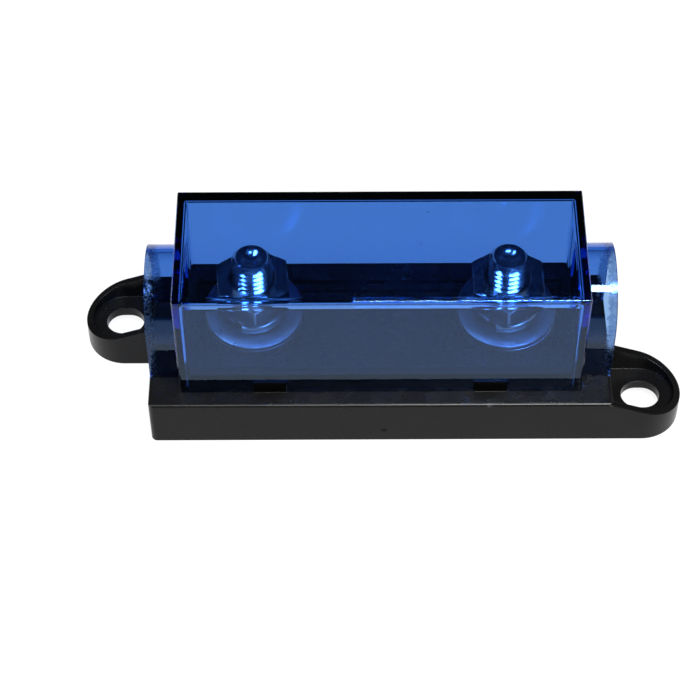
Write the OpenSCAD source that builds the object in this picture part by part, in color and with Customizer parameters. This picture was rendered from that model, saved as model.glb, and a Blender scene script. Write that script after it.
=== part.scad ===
// Bolt-down fuse holder: black moulded base with two fixing ears, a clear blue lift-off cover with a cable
// tunnel at each end, and two threaded studs that each carry a nut, a split lock washer and two flat washers.
// X runs along the holder, Y from front to back, Z up. The origin is on the underside, at the middle.

/* [Base block] */
// Length of the base block
block_length = 113; // [106:1:130]
// Depth of the base block, front to back
block_depth = 43.8; // [42:0.2:52]
// Height of the ledge that the cover stands on
ledge_height = 13.8; // [12:0.2:20]
// Radius of the upright corners
corner_radius = 1.5; // [0.8:0.1:3]
// Radius along the ledge's outer edge
ledge_edge_radius = 0.7; // [0.3:0.1:1.2]
// Outer wall of the cored underside
base_wall = 2.4; // [1.8:0.1:3]
// Thickness of the deck over the cored underside
deck = 2.8; // [2:0.1:3.5]
// Thickness of the ribs in the underside
rib = 1.8; // [1.2:0.1:2.6]

/* [Plinth] */
// Height of the washer seat above the ledge
seat_rise = 8.3; // [7.5:0.1:12]
// Width of the channel along the middle of the plinth
channel_width = 20.6; // [17:0.2:23]
// Depth of the channel's upper step
step_depth = 1.8; // [1:0.1:2.2]
// Width of the step along each side of the channel
step_width = 1.5; // [0.8:0.1:2.5]
// Depth of the channel's floor below the washer seat
channel_depth = 3.4; // [2.6:0.1:4]
// Wall left at each end of the channel
channel_end = 2.1; // [1.4:0.1:4]
// Diameter of the round boss under each pair of washers
boss_diameter = 25; // [24.6:0.2:27]

/* [Fixing ears] */
// Distance of each fixing slot from the middle, along the holder
ear_reach = 64.5; // [60.5:0.5:72]
// Radius of an ear's round end
ear_radius = 9.75; // [8.6:0.05:11]
// Height of the ear's rim where it meets the block
rim_root_height = 13.2; // [10:0.2:13.4]
// Height of the ear's rim at its tip
rim_tip_height = 6.6; // [5.8:0.2:9]
// Thickness of the ear's rim
rim_wall = 1.6; // [1.2:0.1:2.2]
// Height of the top of the ear's floor
ear_floor_height = 5.2; // [4.4:0.1:5.6]
// Thickness of the ear's floor
ear_floor = 2.6; // [1.8:0.1:3.6]
// Width of a fixing slot
slot_width = 8.1; // [5:0.1:9]
// Length of a fixing slot
slot_length = 9.5; // [9.1:0.1:12]

/* [Snap lugs] */
// Distance of each snap lug from the middle
lug_place = 26.8; // [18:0.2:36]
// Width of a snap lug
lug_width = 7.8; // [5:0.2:12]
// Height of a snap lug above the ledge
lug_height = 3.5; // [2.4:0.1:4.6]
// Gap round a lug in the cover's notch
lug_gap = 0.4; // [0.3:0.05:0.8]

/* [Cover] */
// Length of the cover's box, without its tunnels
box_length = 97.9; // [94:0.1:104]
// Depth of the cover's box
box_depth = 35.3; // [33:0.1:37]
// Height of the cover above the ledge
cover_height = 34; // [32:0.5:45]
// Thickness of the cover's walls
cover_wall = 1.5; // [1.2:0.1:2.2]
// Thickness of the cover's top
cover_top = 2.4; // [1.8:0.1:3]
// Radius of the cover's outer edges
cover_edge_radius = 0.8; // [0.4:0.1:1.5]
// Radius of the cover's inner edges
inner_radius = 1.4; // [0.6:0.1:2]
// Gap between the cover and the plinth inside it
cover_gap = 0.3; // [0.25:0.05:0.6]

/* [Cable tunnels] */
// Outer width of a cable tunnel
tunnel_width = 26; // [22:0.5:29]
// Height of a tunnel's straight sides
tunnel_side = 15; // [12:0.5:17]
// How far a tunnel stops short of the end of the block
tunnel_set_back = 0.2; // [0:0.1:2]
// Thickness of a tunnel's wall
tunnel_wall = 2; // [1.5:0.1:2.5]

/* [Studs] */
// Distance between the two studs
stud_spacing = 61.5; // [58:0.5:64]
// Diameter of the studs
stud_diameter = 9.7; // [7.8:0.1:10]
// Height of a stud's tip above the washer seat
stud_rise = 20.5; // [18.5:0.5:21.5]
// Length of the bevelled tip
tip_bevel = 1.1; // [0.4:0.1:1.6]
// Width across the flats of a stud's captive head
head_flats = 16; // [13:0.1:17]
// Height of a stud's captive head
head_height = 6; // [4:0.2:6.4]
// Depth of plastic over a stud's head
head_cover = 7.6; // [6.8:0.2:9]
// Gap between a stud's head and its pocket, all round
head_gap = 0.15; // [0.1:0.05:0.3]
// Gap between a stud and its hole in the base, all round
stud_gap = 0.05; // [0.03:0.01:0.15]

/* [Washers and nut] */
// Outer diameter of the flat washers
washer_diameter = 23.6; // [20:0.2:24.5]
// Thickness of a flat washer
washer_thickness = 1.25; // [1:0.05:1.5]
// Gap between a flat washer's hole and the stud, all round
washer_gap = 0.5; // [0.2:0.05:0.8]
// Gap left on the side to which the right lower washer has slipped
slipped_gap = 0.05; // [0.03:0.01:0.15]
// Outer diameter of the split lock washer
lock_diameter = 15.6; // [14.5:0.1:17]
// Height of the lock washer's section
lock_thickness = 2.4; // [1.8:0.1:2.8]
// Gap between the lock washer and the stud, all round
lock_gap = 0.2; // [0.15:0.05:0.5]
// How far the lock washer's ends spring apart
lock_spring = 2.8; // [1.4:0.1:3]
// Angle of the cut in the lock washer
lock_cut = 14; // [8:1:24]
// Direction in which the cut in the lock washers faces
lock_turn = 242; // [0:1:359]
// Width across the flats of the nut
nut_flats = 17; // [15:0.1:18]
// Height of the nut
nut_height = 5.4; // [4.5:0.1:6]
// Gap between the nut's thread and the stud, all round
thread_gap = 0.05; // [0.03:0.01:0.09]
// Diameter of the bevel at the mouth of the nut
nut_mouth = 11.6; // [10.4:0.1:12.4]
// Gap between the nut and the lock washer's raised end
nut_gap = 0.1; // [0.05:0.05:0.2]
// Angle at which the left nut was left when it was done up
left_nut_turn = 5; // [-30:1:30]
// Slope of the bevel round a nut's corners
nut_bevel_slope = 0.7; // [0.4:0.05:1]

/* [Hidden] */
$fn = 72;
through = 1;
seat_z = ledge_height + seat_rise;
plinth_depth = box_depth - 2 * cover_wall - 2 * cover_gap;
plinth_length = box_length - 2 * cover_wall - 2 * cover_gap;
channel_length = plinth_length - 2 * channel_end;
floor_length = channel_length - 2 * step_width;
floor_width = channel_width - 2 * step_width;
head_top = seat_z - head_cover;
pocket_radius = (head_flats / 2 + head_gap) / cos(30);
pocket_boss_radius = pocket_radius + base_wall;
ear_y = block_depth / 2 - ear_radius;
ear_tip = ear_reach + ear_radius;
core_roof = ledge_height - deck;
plinth_core_roof = seat_z - channel_depth - deck;
plinth_core_depth = plinth_depth - 2 * base_wall;
cover_z = ledge_height;
cover_top_z = cover_z + cover_height;
tunnel_end = block_length / 2 - tunnel_set_back;
washer_stack_z = seat_z + 2 * washer_thickness;
lock_height = lock_thickness + lock_spring;
nut_z = washer_stack_z + lock_height + nut_gap;
stud_tip_z = seat_z + stud_rise;
stud_radius = stud_diameter / 2;
lock_steps = 40;

// Rectangle with round corners, centred
module round_rectangle(length, depth, radius) {
    square([length - 2 * radius, depth], center = true);
    square([length, depth - 2 * radius], center = true);
    for (x = [-1, 1], y = [-1, 1])
        translate([x * (length / 2 - radius), y * (depth / 2 - radius)])
            circle(radius);
}

// Upright outline whose two upper corners are round, standing on the axis
module round_top_outline(width, height, radius) {
    translate([-width / 2, 0])
        square([width, height - radius]);
    translate([-width / 2 + radius, 0])
        square([width - 2 * radius, height]);
    for (x = [-1, 1])
        translate([x * (width / 2 - radius), height - radius])
            circle(radius);
}

// Block with round upright corners and a round upper edge all round
module soft_block(length, depth, height, corner, edge) {
    intersection() {
        linear_extrude(height)
            round_rectangle(length, depth, corner);
        rotate([90, 0, 90])
            translate([0, 0, -length / 2 - through])
                linear_extrude(length + 2 * through)
                    round_top_outline(depth, height, edge);
        rotate([90, 0, 0])
            translate([0, 0, -depth / 2 - through])
                linear_extrude(depth + 2 * through)
                    round_top_outline(length, height, edge);
    }
}

// Slot outline along X, centred
module slot_outline(length, width) {
    square([length - width, width], center = true);
    for (x = [-1, 1])
        translate([x * (length - width) / 2, 0])
            circle(width / 2);
}

// Outline of the right ear from the block out to its tip, with its edge moved in
module ear_outline(inset) {
    root = block_length / 2 - base_wall;
    translate([root, -ear_radius + inset])
        square([ear_reach - root, 2 * (ear_radius - inset)]);
    translate([ear_reach, 0])
        circle(ear_radius - inset);
}

// Side view of the right ear, whose rim falls from the block to the tip
module ear_side(low) {
    root = block_length / 2;
    fall = (rim_root_height - rim_tip_height) / (ear_tip - root);
    polygon([
        [root - base_wall, low],
        [ear_tip + through, low],
        [ear_tip + through, rim_tip_height - fall * through],
        [root, rim_root_height],
        [root - base_wall, rim_root_height]
    ]);
}

// The right ear: a rim on the ground round a thinner floor with the fixing slot
module ear() {
    translate([0, -ear_y, 0])
        difference() {
            intersection() {
                linear_extrude(rim_root_height)
                    ear_outline(0);
                rotate([90, 0, 0])
                    translate([0, 0, -ear_radius - through])
                        linear_extrude(2 * (ear_radius + through))
                            ear_side(0);
            }
            difference() {
                translate([0, 0, ear_floor_height])
                    linear_extrude(rim_root_height)
                        ear_outline(rim_wall);
                translate([0, 0, block_length / -2])
                    cube([block_length, block_depth, block_length * 2], center = true);
            }
            difference() {
                translate([0, 0, -through])
                    linear_extrude(ear_floor_height - ear_floor + through)
                        ear_outline(rim_wall);
                cube([block_length, block_depth, ledge_height], center = true);
            }
            translate([ear_reach, 0, -through])
                linear_extrude(rim_root_height)
                    slot_outline(slot_length, slot_width);
        }
}

// Raised block that the washers stand on, with a stepped channel along its middle
module plinth() {
    difference() {
        translate([0, 0, core_roof])
            soft_block(plinth_length, plinth_depth, seat_z - core_roof, corner_radius, ledge_edge_radius / 2);
        difference() {
            union() {
                translate([0, 0, seat_z - step_depth])
                    linear_extrude(step_depth + through)
                        square([channel_length, channel_width], center = true);
                translate([0, 0, seat_z - channel_depth])
                    linear_extrude(channel_depth + through)
                        square([floor_length, floor_width], center = true);
            }
            for (x = [-1, 1])
                translate([x * stud_spacing / 2, 0, core_roof])
                    cylinder(h = seat_z - core_roof, d = boss_diameter);
        }
    }
}

// The hollow underside: a cavity under the deck and a deeper one under the plinth
module core() {
    difference() {
        union() {
            translate([0, 0, -through])
                linear_extrude(core_roof + through)
                    round_rectangle(block_length - 2 * base_wall, block_depth - 2 * base_wall, corner_radius);
            translate([0, 0, -through])
                linear_extrude(plinth_core_roof + through)
                    square([plinth_length - 2 * base_wall, plinth_core_depth], center = true);
        }
        for (x = [-1, 1])
            translate([x * stud_spacing / 2, 0, 0])
                cylinder(h = seat_z, r = pocket_boss_radius);
        for (x = [-0.5, 0, 0.5])
            translate([x * stud_spacing - rib / 2, -block_depth / 2, 0])
                cube([rib, block_depth, seat_z]);
        translate([-block_length / 2, -rib / 2, 0])
            cube([block_length, rib, seat_z]);
    }
}

module stud_pockets() {
    for (x = [-1, 1])
        translate([x * stud_spacing / 2, 0, 0]) {
            translate([0, 0, -through])
                cylinder(h = head_top + through, r = pocket_radius, $fn = 6);
            cylinder(h = seat_z + through, r = stud_radius + stud_gap);
        }
}

// Lugs on the ledge that sit in the notches of the cover's long walls
module snap_lugs() {
    reach = box_depth / 2;
    root = plinth_depth / 2 - corner_radius;
    for (x = [-1, 1], y = [0, 180])
        rotate([0, 0, y])
            translate([x * lug_place - lug_width / 2, root, core_roof])
                cube([lug_width, reach - root, ledge_height + lug_height - core_roof]);
}

module base() {
    color([0.07, 0.07, 0.08])
        difference() {
            union() {
                soft_block(block_length, block_depth, ledge_height, corner_radius, ledge_edge_radius);
                plinth();
                snap_lugs();
                ear();
                rotate([0, 0, 180])
                    ear();
            }
            core();
            stud_pockets();
        }
}

// Tunnel outline seen from the end: straight sides with a round top, standing on the axis
module tunnel_outline(inset) {
    radius = tunnel_width / 2 - inset;
    translate([-radius, 0])
        square([2 * radius, tunnel_side]);
    translate([0, tunnel_side])
        circle(radius);
}

module tunnel_bar(inset, length) {
    rotate([90, 0, 90])
        translate([0, 0, -length / 2])
            linear_extrude(length)
                tunnel_outline(inset);
}

module lug_notches() {
    notch = lug_width + 2 * lug_gap;
    for (x = [-1, 1], y = [0, 180])
        rotate([0, 0, y])
            translate([x * lug_place - notch / 2, 0, -through])
                cube([notch, block_depth, lug_height + lug_gap + through]);
}

module cover() {
    inside_length = box_length - 2 * cover_wall;
    inside_depth = box_depth - 2 * cover_wall;
    inside_height = cover_height - cover_top + through;
    color([0.16, 0.36, 0.78, 0.45])
        translate([0, 0, cover_z])
            difference() {
                union() {
                    soft_block(box_length, box_depth, cover_height, cover_edge_radius, cover_edge_radius);
                    intersection() {
                        tunnel_bar(0, 2 * tunnel_end);
                        translate([-block_length, -block_depth, 0])
                            cube([2 * block_length, 2 * block_depth, 2 * cover_height]);
                    }
                }
                translate([0, 0, -through])
                    soft_block(inside_length, inside_depth, inside_height, inner_radius, inner_radius);
                translate([0, 0, -through])
                    tunnel_bar(tunnel_wall, block_length + 2 * through);
                tunnel_bar(tunnel_wall, block_length + 2 * through);
                lug_notches();
            }
}

// Stud with its captive six-sided head, on its own axis
module stud() {
    color([0.72, 0.73, 0.75]) {
        translate([0, 0, head_top])
            cylinder(h = stud_tip_z - head_top - tip_bevel, r = stud_radius);
        translate([0, 0, stud_tip_z - tip_bevel])
            cylinder(h = tip_bevel, r1 = stud_radius, r2 = stud_radius - tip_bevel);
        translate([0, 0, head_top - head_height])
            cylinder(h = head_height, r = head_flats / 2 / cos(30), $fn = 6);
    }
}

module flat_washer() {
    color([0.62, 0.64, 0.67])
        difference() {
            cylinder(h = washer_thickness, d = washer_diameter);
            translate([0, 0, -through])
                cylinder(h = washer_thickness + 2 * through, r = stud_radius + washer_gap);
        }
}

// Split lock washer: one turn of a square bar whose ends spring apart
module lock_washer() {
    inner = stud_radius + lock_gap;
    outer = lock_diameter / 2;
    sweep = 360 - lock_cut;
    ring = [for (i = [0 : lock_steps])
        let (a = lock_cut / 2 + sweep * i / lock_steps, z = lock_spring * i / lock_steps)
        [
            [inner * cos(a), inner * sin(a), z],
            [outer * cos(a), outer * sin(a), z],
            [outer * cos(a), outer * sin(a), z + lock_thickness],
            [inner * cos(a), inner * sin(a), z + lock_thickness]
        ]];
    points = [for (section = ring) each section];
    sides = [for (i = [0 : lock_steps - 1], k = [0 : 3])
        [4 * i + k, 4 * i + (k + 1) % 4, 4 * i + 4 + (k + 1) % 4, 4 * i + 4 + k]];
    ends = [[3, 2, 1, 0], [for (k = [0 : 3]) 4 * lock_steps + k]];
    color([0.6, 0.61, 0.64])
        rotate([0, 0, lock_turn])
            polyhedron(points, concat(sides, ends));
}

module nut() {
    bore = stud_radius + thread_gap;
    mouth = nut_mouth / 2 - bore;
    corner = nut_flats / 2 / cos(30);
    color([0.7, 0.71, 0.73])
        difference() {
            intersection() {
                rotate([0, 0, 30])
                    cylinder(h = nut_height, r = corner, $fn = 6);
                rotate_extrude()
                    polygon([
                        [0, 0],
                        [corner, 0],
                        [corner, nut_height - (corner - nut_flats / 2) * nut_bevel_slope],
                        [nut_flats / 2, nut_height],
                        [0, nut_height]
                    ]);
            }
            translate([0, 0, -through])
                cylinder(h = nut_height + 2 * through, r = bore);
            translate([0, 0, nut_height - mouth])
                cylinder(h = mouth, r1 = bore, r2 = bore + mouth);
        }
}

// Moved along until its hole nearly meets the stud
module slipped() {
    translate([washer_gap - slipped_gap, 0, 0])
        children();
}

module at_stud(side, z) {
    translate([side * stud_spacing / 2, 0, z])
        children();
}

base();
cover();
at_stud(-1, 0) stud();  // stud_left
at_stud(1, 0) stud();  // stud_right
at_stud(-1, seat_z) flat_washer();  // lower_washer_left
at_stud(1, seat_z) slipped() flat_washer();  // lower_washer_right
at_stud(-1, seat_z + washer_thickness) flat_washer();  // upper_washer_left
at_stud(1, seat_z + washer_thickness) flat_washer();  // upper_washer_right
at_stud(-1, washer_stack_z) lock_washer();  // lock_washer_left
at_stud(1, washer_stack_z) lock_washer();  // lock_washer_right
at_stud(-1, nut_z) rotate([0, 0, left_nut_turn]) nut();  // nut_left
at_stud(1, nut_z) nut();  // nut_right
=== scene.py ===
import math

import bmesh
import bpy
from mathutils import Matrix, Vector


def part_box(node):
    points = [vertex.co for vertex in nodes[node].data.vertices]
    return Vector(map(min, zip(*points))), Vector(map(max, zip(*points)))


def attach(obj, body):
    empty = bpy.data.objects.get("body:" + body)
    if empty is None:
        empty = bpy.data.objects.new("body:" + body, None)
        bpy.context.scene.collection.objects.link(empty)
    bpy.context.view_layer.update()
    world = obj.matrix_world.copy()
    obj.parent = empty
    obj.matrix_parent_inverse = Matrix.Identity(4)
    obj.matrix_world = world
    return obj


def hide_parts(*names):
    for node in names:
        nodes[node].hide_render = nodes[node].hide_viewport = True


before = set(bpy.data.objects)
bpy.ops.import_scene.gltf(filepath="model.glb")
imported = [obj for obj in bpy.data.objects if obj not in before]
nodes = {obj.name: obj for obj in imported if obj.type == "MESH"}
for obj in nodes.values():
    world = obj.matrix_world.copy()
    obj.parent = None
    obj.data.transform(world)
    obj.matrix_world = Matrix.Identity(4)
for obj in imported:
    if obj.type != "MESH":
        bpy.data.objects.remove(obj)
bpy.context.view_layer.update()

MM = 0.001
UP = Vector((0, 0, 1))

# Camera: the photograph's viewpoint, from above the front edge
CAMERA_PLACE = Vector((-7.2, -343.1, 436.8)) * MM
CAMERA_RIGHT = Vector((0.999991, -0.003078, -0.002839))
CAMERA_UP = Vector((0.004177, 0.780752, 0.624827))
CAMERA_LENS = 112.7

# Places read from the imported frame
COVER_LOW, COVER_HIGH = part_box("cover")
NUT_LOW, NUT_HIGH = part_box("nut_right")
STUD_LOW, STUD_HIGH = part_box("stud_right")
BASE_LOW, BASE_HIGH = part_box("base")
LEDGE_Z = COVER_LOW.z
STUD_X = (NUT_LOW.x + NUT_HIGH.x) / 2
STUD_TIP = STUD_HIGH.z

# Stud and thread
STUD_RADIUS = 4.85 * MM
HEAD_HEIGHT = 6.0 * MM
HEAD_CORNER = (STUD_HIGH.x - STUD_LOW.x) / 2
TIP_BEVEL = 1.1 * MM
THREAD_PITCH = 1.5 * MM
THREAD_DEPTH = 0.9 * MM
THREAD_STEPS = 60
# Dimple left in a stud's tip: reach from the axis and depth of each ring
TIP_DIMPLE = ((2.8 * MM, 0.0), (2.4 * MM, 0.14 * MM), (1.9 * MM, 0.43 * MM), (1.3 * MM, 0.8 * MM), (0.6 * MM, 1.0 * MM),
              (0.01 * MM, 1.05 * MM))
# One pitch of the thread's section: height as a share of the pitch, depth as a share of the depth
THREAD_SECTION = ((0.0, 0.07), (0.03, 0.0), (0.095, 0.0), (0.125, 0.07), (0.42, 0.93), (0.47, 1.0), (0.65, 1.0),
                  (0.7, 0.93), (1.0, 0.07))

# Washers
WASHER_BORE = STUD_RADIUS + 0.5 * MM
WASHER_EDGE = 0.18 * MM
LOCK_BORE = STUD_RADIUS + 0.2 * MM
LOCK_BAR = 2.4 * MM
LOCK_EDGE = 0.22 * MM
LOCK_CUT = math.radians(14)
LOCK_TURN = math.radians(242)
RING_STEPS = 120

# Nuts
NUT_FLATS = 17.0 * MM
NUT_BORE = STUD_RADIUS + 0.05 * MM
NUT_MOUTH = 5.8 * MM
NUT_EDGE = 0.2 * MM
NUT_CORNER_WEAR = 0.07 * MM
NUT_BEVEL_SLOPE = 0.2
NUT_TURN = {"left": math.radians(5), "right": 0.0}
NUT_STEPS = 240

# Length of each cable tunnel's sawn, frosted end
FROSTED_END = 2.0 * MM

# Marks of use, in millimetres: scuffed spot on the ledge, gate mark on the front with a ring of painted shade round it,
# specks and a nick on the cover
LEDGE_SCUFF = (26.5, -21.8, 13.7)
GATE_MARK = (0.9, -21.9, 3.9)
TOP_SPECKS = ((11.4, 10.4, 47.8), (9.5, 0.3, 47.8))
EDGE_NICK = (23.4, 14.7, 47.8)

# Lights: place of the middle in metres, width, depth, brightness seen in a mirror
OVERHEAD = ((0.265, -0.42, 0.95), 0.56, 0.27, 92.0)
LEFT_LIGHT = ((-0.32, -0.09, 0.55), 0.2, 0.2, 48.0)
TABLE_GLOW = 0.9
TABLE_REACH = 30.0
ROOM_GREY = 0.028


class Finish:
    """A node material with short helpers."""

    def __init__(self, name):
        self.material = bpy.data.materials.new(name)
        self.material.use_nodes = True
        self.tree = self.material.node_tree
        self.tree.nodes.clear()
        self.out = self.add("ShaderNodeOutputMaterial")

    def add(self, kind, **values):
        node = self.tree.nodes.new(kind)
        for key, value in values.items():
            if hasattr(node, key) and key not in node.inputs:
                setattr(node, key, value)
            else:
                node.inputs[key].default_value = value
        return node

    def link(self, a, b):
        self.tree.links.new(a, b)

    def position(self):
        return self.add("ShaderNodeTexCoord").outputs["Object"]

    def noise(self, scale, detail=2.0, rough=0.5, stretch=None):
        coords = self.position()
        if stretch:
            mapping = self.add("ShaderNodeMapping")
            mapping.inputs["Scale"].default_value = stretch
            self.link(coords, mapping.inputs["Vector"])
            coords = mapping.outputs["Vector"]
        node = self.add("ShaderNodeTexNoise", Scale=scale, Detail=detail, Roughness=rough)
        self.link(coords, node.inputs["Vector"])
        return node.outputs["Fac"]

    def ramp(self, value, low, high, out_low=0.0, out_high=1.0):
        node = self.add("ShaderNodeMapRange")
        node.inputs["From Min"].default_value = low
        node.inputs["From Max"].default_value = high
        node.inputs["To Min"].default_value = out_low
        node.inputs["To Max"].default_value = out_high
        self.link(value, node.inputs["Value"])
        return node.outputs["Result"]

    def mix_colour(self, factor, first, second):
        node = self.add("ShaderNodeMix", data_type="RGBA")
        self.link(factor, node.inputs["Factor"])
        for socket, colour in ((node.inputs[6], first), (node.inputs[7], second)):
            if isinstance(colour, bpy.types.NodeSocket):
                self.link(colour, socket)
            else:
                socket.default_value = colour
        return node.outputs[2]

    def math(self, operation, a, b=None):
        node = self.add("ShaderNodeMath", operation=operation)
        for socket, value in zip(node.inputs, (a, b)):
            if value is None:
                continue
            if isinstance(value, (int, float)):
                socket.default_value = value
            else:
                self.link(value, socket)
        return node.outputs[0]

    def bump(self, height, distance, strength=1.0, normal=None):
        node = self.add("ShaderNodeBump", Distance=distance, Strength=strength)
        self.link(height, node.inputs["Height"])
        if normal:
            self.link(normal, node.inputs["Normal"])
        return node.outputs["Normal"]

    def worn_edge(self, radius):
        """Normals that turn round a sharp edge, as on a moulded or tumbled part."""
        node = self.add("ShaderNodeBevel", Radius=radius)
        node.samples = 6
        return node.outputs["Normal"]

    def axes(self):
        node = self.add("ShaderNodeSeparateXYZ")
        self.link(self.position(), node.inputs[0])
        return node.outputs["X"], node.outputs["Y"], node.outputs["Z"]

    def spot(self, place, radius):
        """One inside a small round spot on the surface, nought outside it."""
        node = self.add("ShaderNodeVectorMath", operation="DISTANCE")
        self.link(self.position(), node.inputs[0])
        node.inputs[1].default_value = Vector(place) * MM
        return self.ramp(node.outputs["Value"], radius * 0.55, radius, 1.0, 0.0)

    def from_stud(self):
        """Distance from the axis of the nearer stud."""
        x, y, _ = self.axes()
        along = self.math("SUBTRACT", self.math("ABSOLUTE", x), STUD_X)
        return self.math("SQRT", self.math("ADD", self.math("POWER", along, 2.0), self.math("POWER", y, 2.0)))


def grey(value, blue=0.0):
    return (value, value * (1 + blue * 0.4), value * (1 + blue), 1.0)


def black_plastic():
    """Glass-filled black moulding: satin, a little cloudy, with softly worn edges; the snap lugs and a ring round the
    gate mark get painted shade, a darker shader with almost no gloss.
    """
    f = Finish("black_moulded_plastic")
    shader = f.add("ShaderNodeBsdfPrincipled")
    shader.inputs["Specular IOR Level"].default_value = 0.125
    # Painted shade: a darker, almost glossless shader for the snap lugs and the ring round the gate mark
    painted_shade = f.add("ShaderNodeBsdfPrincipled", Roughness=0.5)
    painted_shade.inputs["Specular IOR Level"].default_value = 0.02
    painted_shade.inputs["Base Color"].default_value = grey(0.0003)
    cloud = f.noise(90.0, 4.0, 0.6)
    plain = f.mix_colour(f.ramp(cloud, 0.35, 0.7), grey(0.0014), grey(0.0024))
    scuff = f.math("MULTIPLY", f.spot(LEDGE_SCUFF, 0.9 * MM), f.ramp(f.noise(4000.0, 3.0), 0.45, 0.6))
    f.link(f.mix_colour(scuff, plain, grey(0.03)), shader.inputs["Base Color"])
    f.link(f.ramp(f.noise(160.0, 4.0, 0.6), 0.3, 0.7, 0.22, 0.32), shader.inputs["Roughness"])
    grain = f.bump(f.noise(2600.0, 2.0), 0.00002, 0.35, f.worn_edge(0.25 * MM))
    grain = f.bump(f.spot(GATE_MARK, 0.5 * MM), 0.00008, 1.0, grain)
    f.link(grain, shader.inputs["Normal"])
    _, y, z = f.axes()
    # Mask of the snap lugs' faces, where the painted shade goes
    lug_painted_shade = f.math("MULTIPLY", f.math("GREATER_THAN", z, LEDGE_Z + 0.2 * MM),
                 f.math("GREATER_THAN", f.math("ABSOLUTE", y), COVER_HIGH.y - 2 * MM))
    # Ring round the gate mark, where the painted shade goes as a dark ring
    ring = f.math("SUBTRACT", f.spot(GATE_MARK, 0.75 * MM), f.spot(GATE_MARK, 0.35 * MM))
    surface = f.add("ShaderNodeMixShader")
    f.link(f.math("MAXIMUM", lug_painted_shade, ring), surface.inputs[0])
    f.link(shader.outputs[0], surface.inputs[1])
    f.link(painted_shade.outputs[0], surface.inputs[2])
    f.link(surface.outputs[0], f.out.inputs["Surface"])
    return f.material


def blue_plastic():
    """Clear blue moulding: its colour comes from its depth, its reflections are painted blue by a tint, and the sawn
    ends of the tunnels are frosted.
    """
    f = Finish("clear_blue_plastic")
    shader = f.add("ShaderNodeBsdfPrincipled", IOR=1.5)
    dust = f.math("MAXIMUM", f.spot(TOP_SPECKS[0], 0.28 * MM), f.spot(TOP_SPECKS[1], 0.25 * MM))
    dust = f.math("MAXIMUM", dust, f.spot(EDGE_NICK, 0.35 * MM))
    shader.inputs["Transmission Weight"].default_value = 1.0
    # Painted reflection: a blue tint on all reflections, standing in for blue-lit surroundings
    shader.inputs["Specular Tint"].default_value = (0.28, 0.56, 1.0, 1)
    x, _, _ = f.axes()
    end = COVER_HIGH.x
    reach = f.math("ADD", f.math("ABSOLUTE", x), f.ramp(f.noise(1100.0, 3.0), 0.3, 0.7, -0.5 * MM, 0.5 * MM))
    frosted = f.ramp(reach, end - FROSTED_END - 0.3 * MM, end - FROSTED_END + 0.3 * MM)
    f.link(f.math("MULTIPLY", frosted, f.ramp(f.noise(1800.0, 4.0), 0.4, 0.62, 0.04, 0.3)), shader.inputs["Roughness"])
    sawn = f.math("MULTIPLY", frosted, f.ramp(f.noise(1500.0, 3.0), 0.35, 0.6, 0.35, 0.75))
    tint = f.mix_colour(sawn, (1, 1, 1, 1), (0.22, 0.27, 0.4, 1))
    f.link(f.mix_colour(dust, tint, (0.16, 0.16, 0.2, 1)), shader.inputs["Base Color"])
    clear = f.add("ShaderNodeMixShader")
    f.link(f.add("ShaderNodeLightPath").outputs["Is Shadow Ray"], clear.inputs[0])
    f.link(shader.outputs[0], clear.inputs[1])
    f.link(f.add("ShaderNodeBsdfTransparent").outputs[0], clear.inputs[2])
    f.link(clear.outputs[0], f.out.inputs["Surface"])
    depth = f.add("ShaderNodeVolumeAbsorption", Density=720.0)
    depth.inputs["Color"].default_value = (0.055, 0.446, 0.845, 1)
    f.link(depth.outputs[0], f.out.inputs["Volume"])
    return f.material


def steel(name, shade, rough, edge=0.0, turned=0.0):
    """Bare or plated steel: cloudy shade and gloss, fine scratches, and turning rings where it was cut on a lathe."""
    f = Finish(name)
    shader = f.add("ShaderNodeBsdfPrincipled", Metallic=1.0)
    cloud = f.ramp(f.noise(500.0, 4.0, 0.6), 0.3, 0.72)
    f.link(f.mix_colour(cloud, grey(shade * 0.72, 0.03), grey(shade, 0.05)), shader.inputs["Base Color"])
    f.link(f.ramp(f.noise(350.0, 5.0, 0.65), 0.3, 0.7, rough * 0.7, rough * 1.3), shader.inputs["Roughness"])
    normal = f.worn_edge(edge) if edge else None
    normal = f.bump(f.noise(3500.0, 3.0), 0.000012, 0.4, normal)
    if turned:
        rings = f.math("SINE", f.math("MULTIPLY", f.from_stud(), 2 * math.pi / turned))
        normal = f.bump(rings, 0.000004, 0.5, normal)
    f.link(normal, shader.inputs["Normal"])
    f.link(shader.outputs[0], f.out.inputs["Surface"])
    return f.material


def clothe(node, material):
    mesh = nodes[node].data
    mesh.materials.clear()
    mesh.materials.append(material)


def finish_piece(name, bm, material, body, sharp=30):
    """Close and turn a shape's skin the right way out, and put it on its body in place of its CAD node."""
    bmesh.ops.remove_doubles(bm, verts=bm.verts, dist=0.000002)
    bmesh.ops.recalc_face_normals(bm, faces=bm.faces)
    mesh = bpy.data.meshes.new(name)
    bm.to_mesh(mesh)
    bm.free()
    mesh.shade_smooth()
    mesh.set_sharp_from_angle(angle=math.radians(sharp))
    mesh.materials.append(material)
    piece = bpy.data.objects.new(name, mesh)
    bpy.context.collection.objects.link(piece)
    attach(piece, body)
    return piece


def section_loop(bm, points, centre, turn=0.0, closed=True):
    """A section drawn in the upright plane through an axis: radius and height of each point."""
    aim = Vector((math.cos(turn), math.sin(turn), 0))
    corners = [bm.verts.new(centre + aim * radius + UP * height) for radius, height in points]
    pairs = list(zip(corners, corners[1:]))
    if closed:
        pairs.append((corners[-1], corners[0]))
    return corners + [bm.edges.new(pair) for pair in pairs]


def cap_open_edges(bm):
    rim = [edge for edge in bm.edges if edge.is_boundary]
    bmesh.ops.holes_fill(bm, edges=rim, sides=0)


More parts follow.
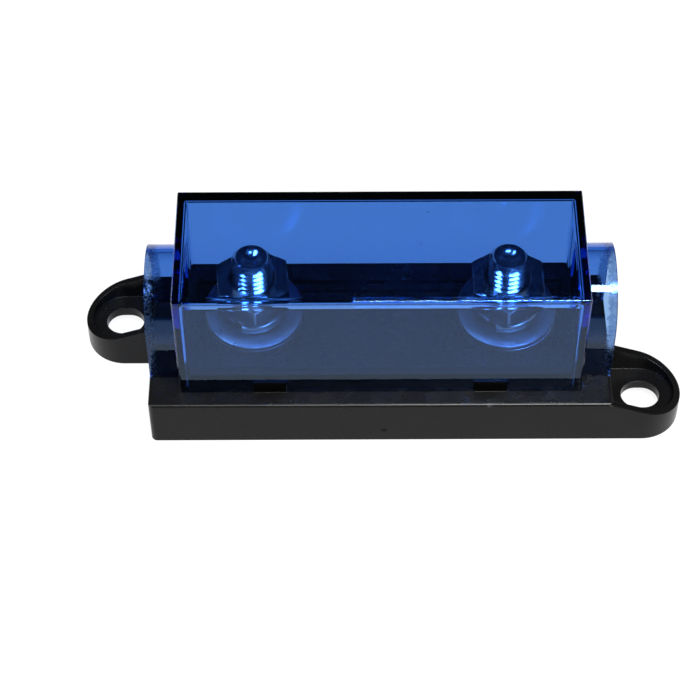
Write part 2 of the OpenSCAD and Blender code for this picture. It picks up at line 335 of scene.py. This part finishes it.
def draw_in(bm, rim, centre, reach, height):
    """Extrude a round rim onto a ring of another reach and height, and return the new rim."""
    made = bmesh.ops.extrude_edge_only(bm, edges=rim)["geom"]
    for corner in (item for item in made if isinstance(item, bmesh.types.BMVert)):
        arm = (corner.co - centre) * Vector((1, 1, 0))
        corner.co = centre + arm.normalized() * reach + UP * height
    return [item for item in made if isinstance(item, bmesh.types.BMEdge) and item.is_boundary]


def bar_section(inner, outer, low, high, edge):
    """A rectangular section with its four corners cut."""
    return ((inner, low + edge), (inner + edge, low), (outer - edge, low), (outer, low + edge),
            (outer, high - edge), (outer - edge, high), (inner + edge, high), (inner, high - edge))


def make_stud(side, body):
    node = f"stud_{side}"
    low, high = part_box(node)
    centre = Vector(((low.x + high.x) / 2, 0, 0))
    head_top = low.z + HEAD_HEIGHT
    bm = bmesh.new()
    turns = math.ceil((high.z - head_top) / THREAD_PITCH) + 3
    points = [(STUD_RADIUS - depth * THREAD_DEPTH, head_top + (height - 1.5) * THREAD_PITCH)
              for height, depth in THREAD_SECTION]
    bmesh.ops.spin(bm, geom=section_loop(bm, points, centre, closed=False), cent=centre, axis=UP,
                   dvec=UP * THREAD_PITCH / THREAD_STEPS, angle=2 * math.pi * turns, steps=turns * THREAD_STEPS)
    bmesh.ops.remove_doubles(bm, verts=bm.verts, dist=0.000002)
    bevel_start = high.z - TIP_BEVEL
    for corner in bm.verts:
        arm = corner.co - centre
        reach = math.hypot(arm.x, arm.y)
        limit = STUD_RADIUS - min(max(0.0, corner.co.z - bevel_start), TIP_BEVEL)
        if reach > limit:
            corner.co = centre + Vector((arm.x * limit / reach, arm.y * limit / reach, arm.z))
    for height, way in ((high.z, 1), (head_top, -1)):
        everything = bm.verts[:] + bm.edges[:] + bm.faces[:]
        bmesh.ops.bisect_plane(bm, geom=everything, dist=0.000001, plane_co=UP * height, plane_no=UP * way,
                               clear_outer=True)
    rim = [edge for edge in bm.edges if edge.is_boundary and edge.verts[0].co.z > bevel_start]
    for reach, drop in TIP_DIMPLE:
        rim = draw_in(bm, rim, centre, reach, high.z - drop)
    cap_open_edges(bm)
    bmesh.ops.create_cone(bm, cap_ends=True, segments=6, radius1=HEAD_CORNER, radius2=HEAD_CORNER,
                                 depth=HEAD_HEIGHT, matrix=Matrix.Translation(centre + UP * (head_top - HEAD_HEIGHT / 2))
                                 @ Matrix.Rotation(math.radians(30), 4, "Z"))
    piece = finish_piece(f"threaded_stud_{side}", bm, STUD_STEEL, body)
    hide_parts(node)


def make_nut(side, body):
    """A ring spun round the stud, whose outer rows are then drawn in to the hexagon, its bevel and its worn corners."""
    node = f"nut_{side}"
    low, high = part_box(node)
    centre = Vector((math.copysign(STUD_X, low.x), 0, 0))
    half, corner = NUT_FLATS / 2, NUT_FLATS / 2 / math.cos(math.radians(30))
    shoulder, wall_foot, underside = corner + 1 * MM, corner + 2 * MM, corner + 3 * MM
    section = ((NUT_BORE, low.z), (NUT_BORE, high.z - NUT_MOUTH + NUT_BORE), (NUT_MOUTH, high.z), (half - NUT_EDGE, high.z),
               (shoulder, high.z), (wall_foot, low.z), (underside, low.z))
    bm = bmesh.new()
    bmesh.ops.spin(bm, geom=section_loop(bm, section, centre, NUT_TURN[side]), cent=centre, axis=UP, angle=2 * math.pi,
                   steps=NUT_STEPS, use_merge=True)
    for point in bm.verts:
        arm = (point.co - centre) * Vector((1, 1, 0))
        if arm.length < corner + 0.5 * MM:
            continue
        sixth = math.radians(60)
        off_flat = (math.atan2(arm.y, arm.x) - NUT_TURN[side] + sixth / 2) % sixth - sixth / 2
        wall = min(half / math.cos(off_flat), corner - NUT_CORNER_WEAR)
        row = round((arm.length - corner) / MM)
        reach = wall - (NUT_EDGE if row == 3 else 0)
        height = {1: high.z - NUT_EDGE - (wall - half) * NUT_BEVEL_SLOPE, 2: low.z + NUT_EDGE, 3: low.z}[row]
        point.co = centre + arm.normalized() * reach + UP * height
    piece = finish_piece(f"hexagon_{node}", bm, NUT_STEEL, body, sharp=20)
    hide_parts(node)


def make_flat_washer(node, body):
    low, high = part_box(node)
    centre = Vector(((low.x + high.x) / 2, 0, 0))
    outer = (high.x - low.x) / 2
    bm = bmesh.new()
    loop = section_loop(bm, bar_section(WASHER_BORE, outer, low.z, high.z, WASHER_EDGE), centre)
    bmesh.ops.spin(bm, geom=loop, cent=centre, axis=UP, angle=2 * math.pi, steps=RING_STEPS, use_merge=True)
    piece = finish_piece(f"flat_{node}", bm, WASHER_STEEL, body, sharp=50)
    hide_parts(node)


def make_lock_washer(side, body):
    node = f"lock_washer_{side}"
    low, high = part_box(node)
    centre = Vector((-STUD_X if side == "left" else STUD_X, 0, 0))
    outer = (high.y - low.y) / 2
    rise = high.z - low.z - LOCK_BAR
    bm = bmesh.new()
    section = bar_section(LOCK_BORE, outer, low.z, low.z + LOCK_BAR, LOCK_EDGE)
    loop = section_loop(bm, section, centre, LOCK_TURN + LOCK_CUT / 2)
    bmesh.ops.spin(bm, geom=loop, cent=centre, axis=UP, dvec=UP * rise / RING_STEPS, angle=2 * math.pi - LOCK_CUT,
                   steps=RING_STEPS)
    cap_open_edges(bm)
    piece = finish_piece(f"split_{node}", bm, SPRING_STEEL, body, sharp=50)
    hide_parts(node)


def make_camera():
    data = bpy.data.cameras.new("camera")
    data.lens = CAMERA_LENS
    data.sensor_width = 36.0
    camera = bpy.data.objects.new("camera", data)
    turn = Matrix((CAMERA_RIGHT, CAMERA_UP, CAMERA_RIGHT.cross(CAMERA_UP))).transposed()
    camera.matrix_world = Matrix.Translation(CAMERA_PLACE) @ turn.to_4x4()
    bpy.context.collection.objects.link(camera)
    bpy.context.scene.camera = camera


def make_table():
    """A white light table: it glows a little itself, so the shadows on it stay pale."""
    bm = bmesh.new()
    bmesh.ops.create_grid(bm, x_segments=1, y_segments=1, size=TABLE_REACH)
    mesh = bpy.data.meshes.new("table")
    bm.to_mesh(mesh)
    bm.free()
    f = Finish("white_table")
    shader = f.add("ShaderNodeBsdfPrincipled", Roughness=0.9)
    shader.inputs["Specular IOR Level"].default_value = 0.0
    f.link(f.mix_colour(f.noise(40.0), grey(0.05), grey(0.055)), shader.inputs["Base Color"])
    shader.inputs["Emission Color"].default_value = (1, 1, 1, 1)
    shader.inputs["Emission Strength"].default_value = TABLE_GLOW
    f.link(shader.outputs[0], f.out.inputs["Surface"])
    mesh.materials.append(f.material)
    table = bpy.data.objects.new("table", mesh)
    table.location.z = -0.0002
    bpy.context.collection.objects.link(table)


def softbox(name, place, width, depth, brightness, aim=(0.0, 0.0, 0.03)):
    data = bpy.data.lights.new(name, "AREA")
    data.shape = "RECTANGLE"
    data.size = width
    data.size_y = depth
    data.energy = math.pi * width * depth * brightness
    light = bpy.data.objects.new(name, data)
    light.location = place
    back = (Vector(place) - Vector(aim)).normalized()
    across = (Vector((1, 0, 0)) - back * back.x).normalized()
    light.rotation_mode = "QUATERNION"
    light.rotation_quaternion = Matrix((across, back.cross(across), back)).transposed().to_quaternion()
    bpy.context.collection.objects.link(light)


def make_light():
    world = bpy.data.worlds.new("studio")
    world.use_nodes = True
    world.node_tree.nodes["Background"].inputs["Color"].default_value = grey(ROOM_GREY)
    bpy.context.scene.world = world
    softbox("overhead", *OVERHEAD)
    softbox("left_light", *LEFT_LIGHT)
    bpy.context.scene.view_settings.view_transform = "Standard"


make_camera()
make_table()
make_light()

PLASTIC = black_plastic()
BLUE = blue_plastic()
STUD_STEEL = steel("rolled_stud_steel", 0.72, 0.12)
WASHER_STEEL = steel("plated_washer_steel", 0.14, 0.36)
SPRING_STEEL = steel("spring_steel", 0.42, 0.2)
NUT_STEEL = steel("turned_nut_steel", 0.55, 0.14, edge=0.2 * MM, turned=0.18 * MM)

clothe("base", PLASTIC)
clothe("cover", BLUE)
for side in ("left", "right"):
    make_nut(side, f"nut_{side}")
    make_stud(side, "base")
    make_flat_washer(f"lower_washer_{side}", "base")
    make_flat_washer(f"upper_washer_{side}", f"clamp_{side}")
    make_lock_washer(side, f"clamp_{side}")
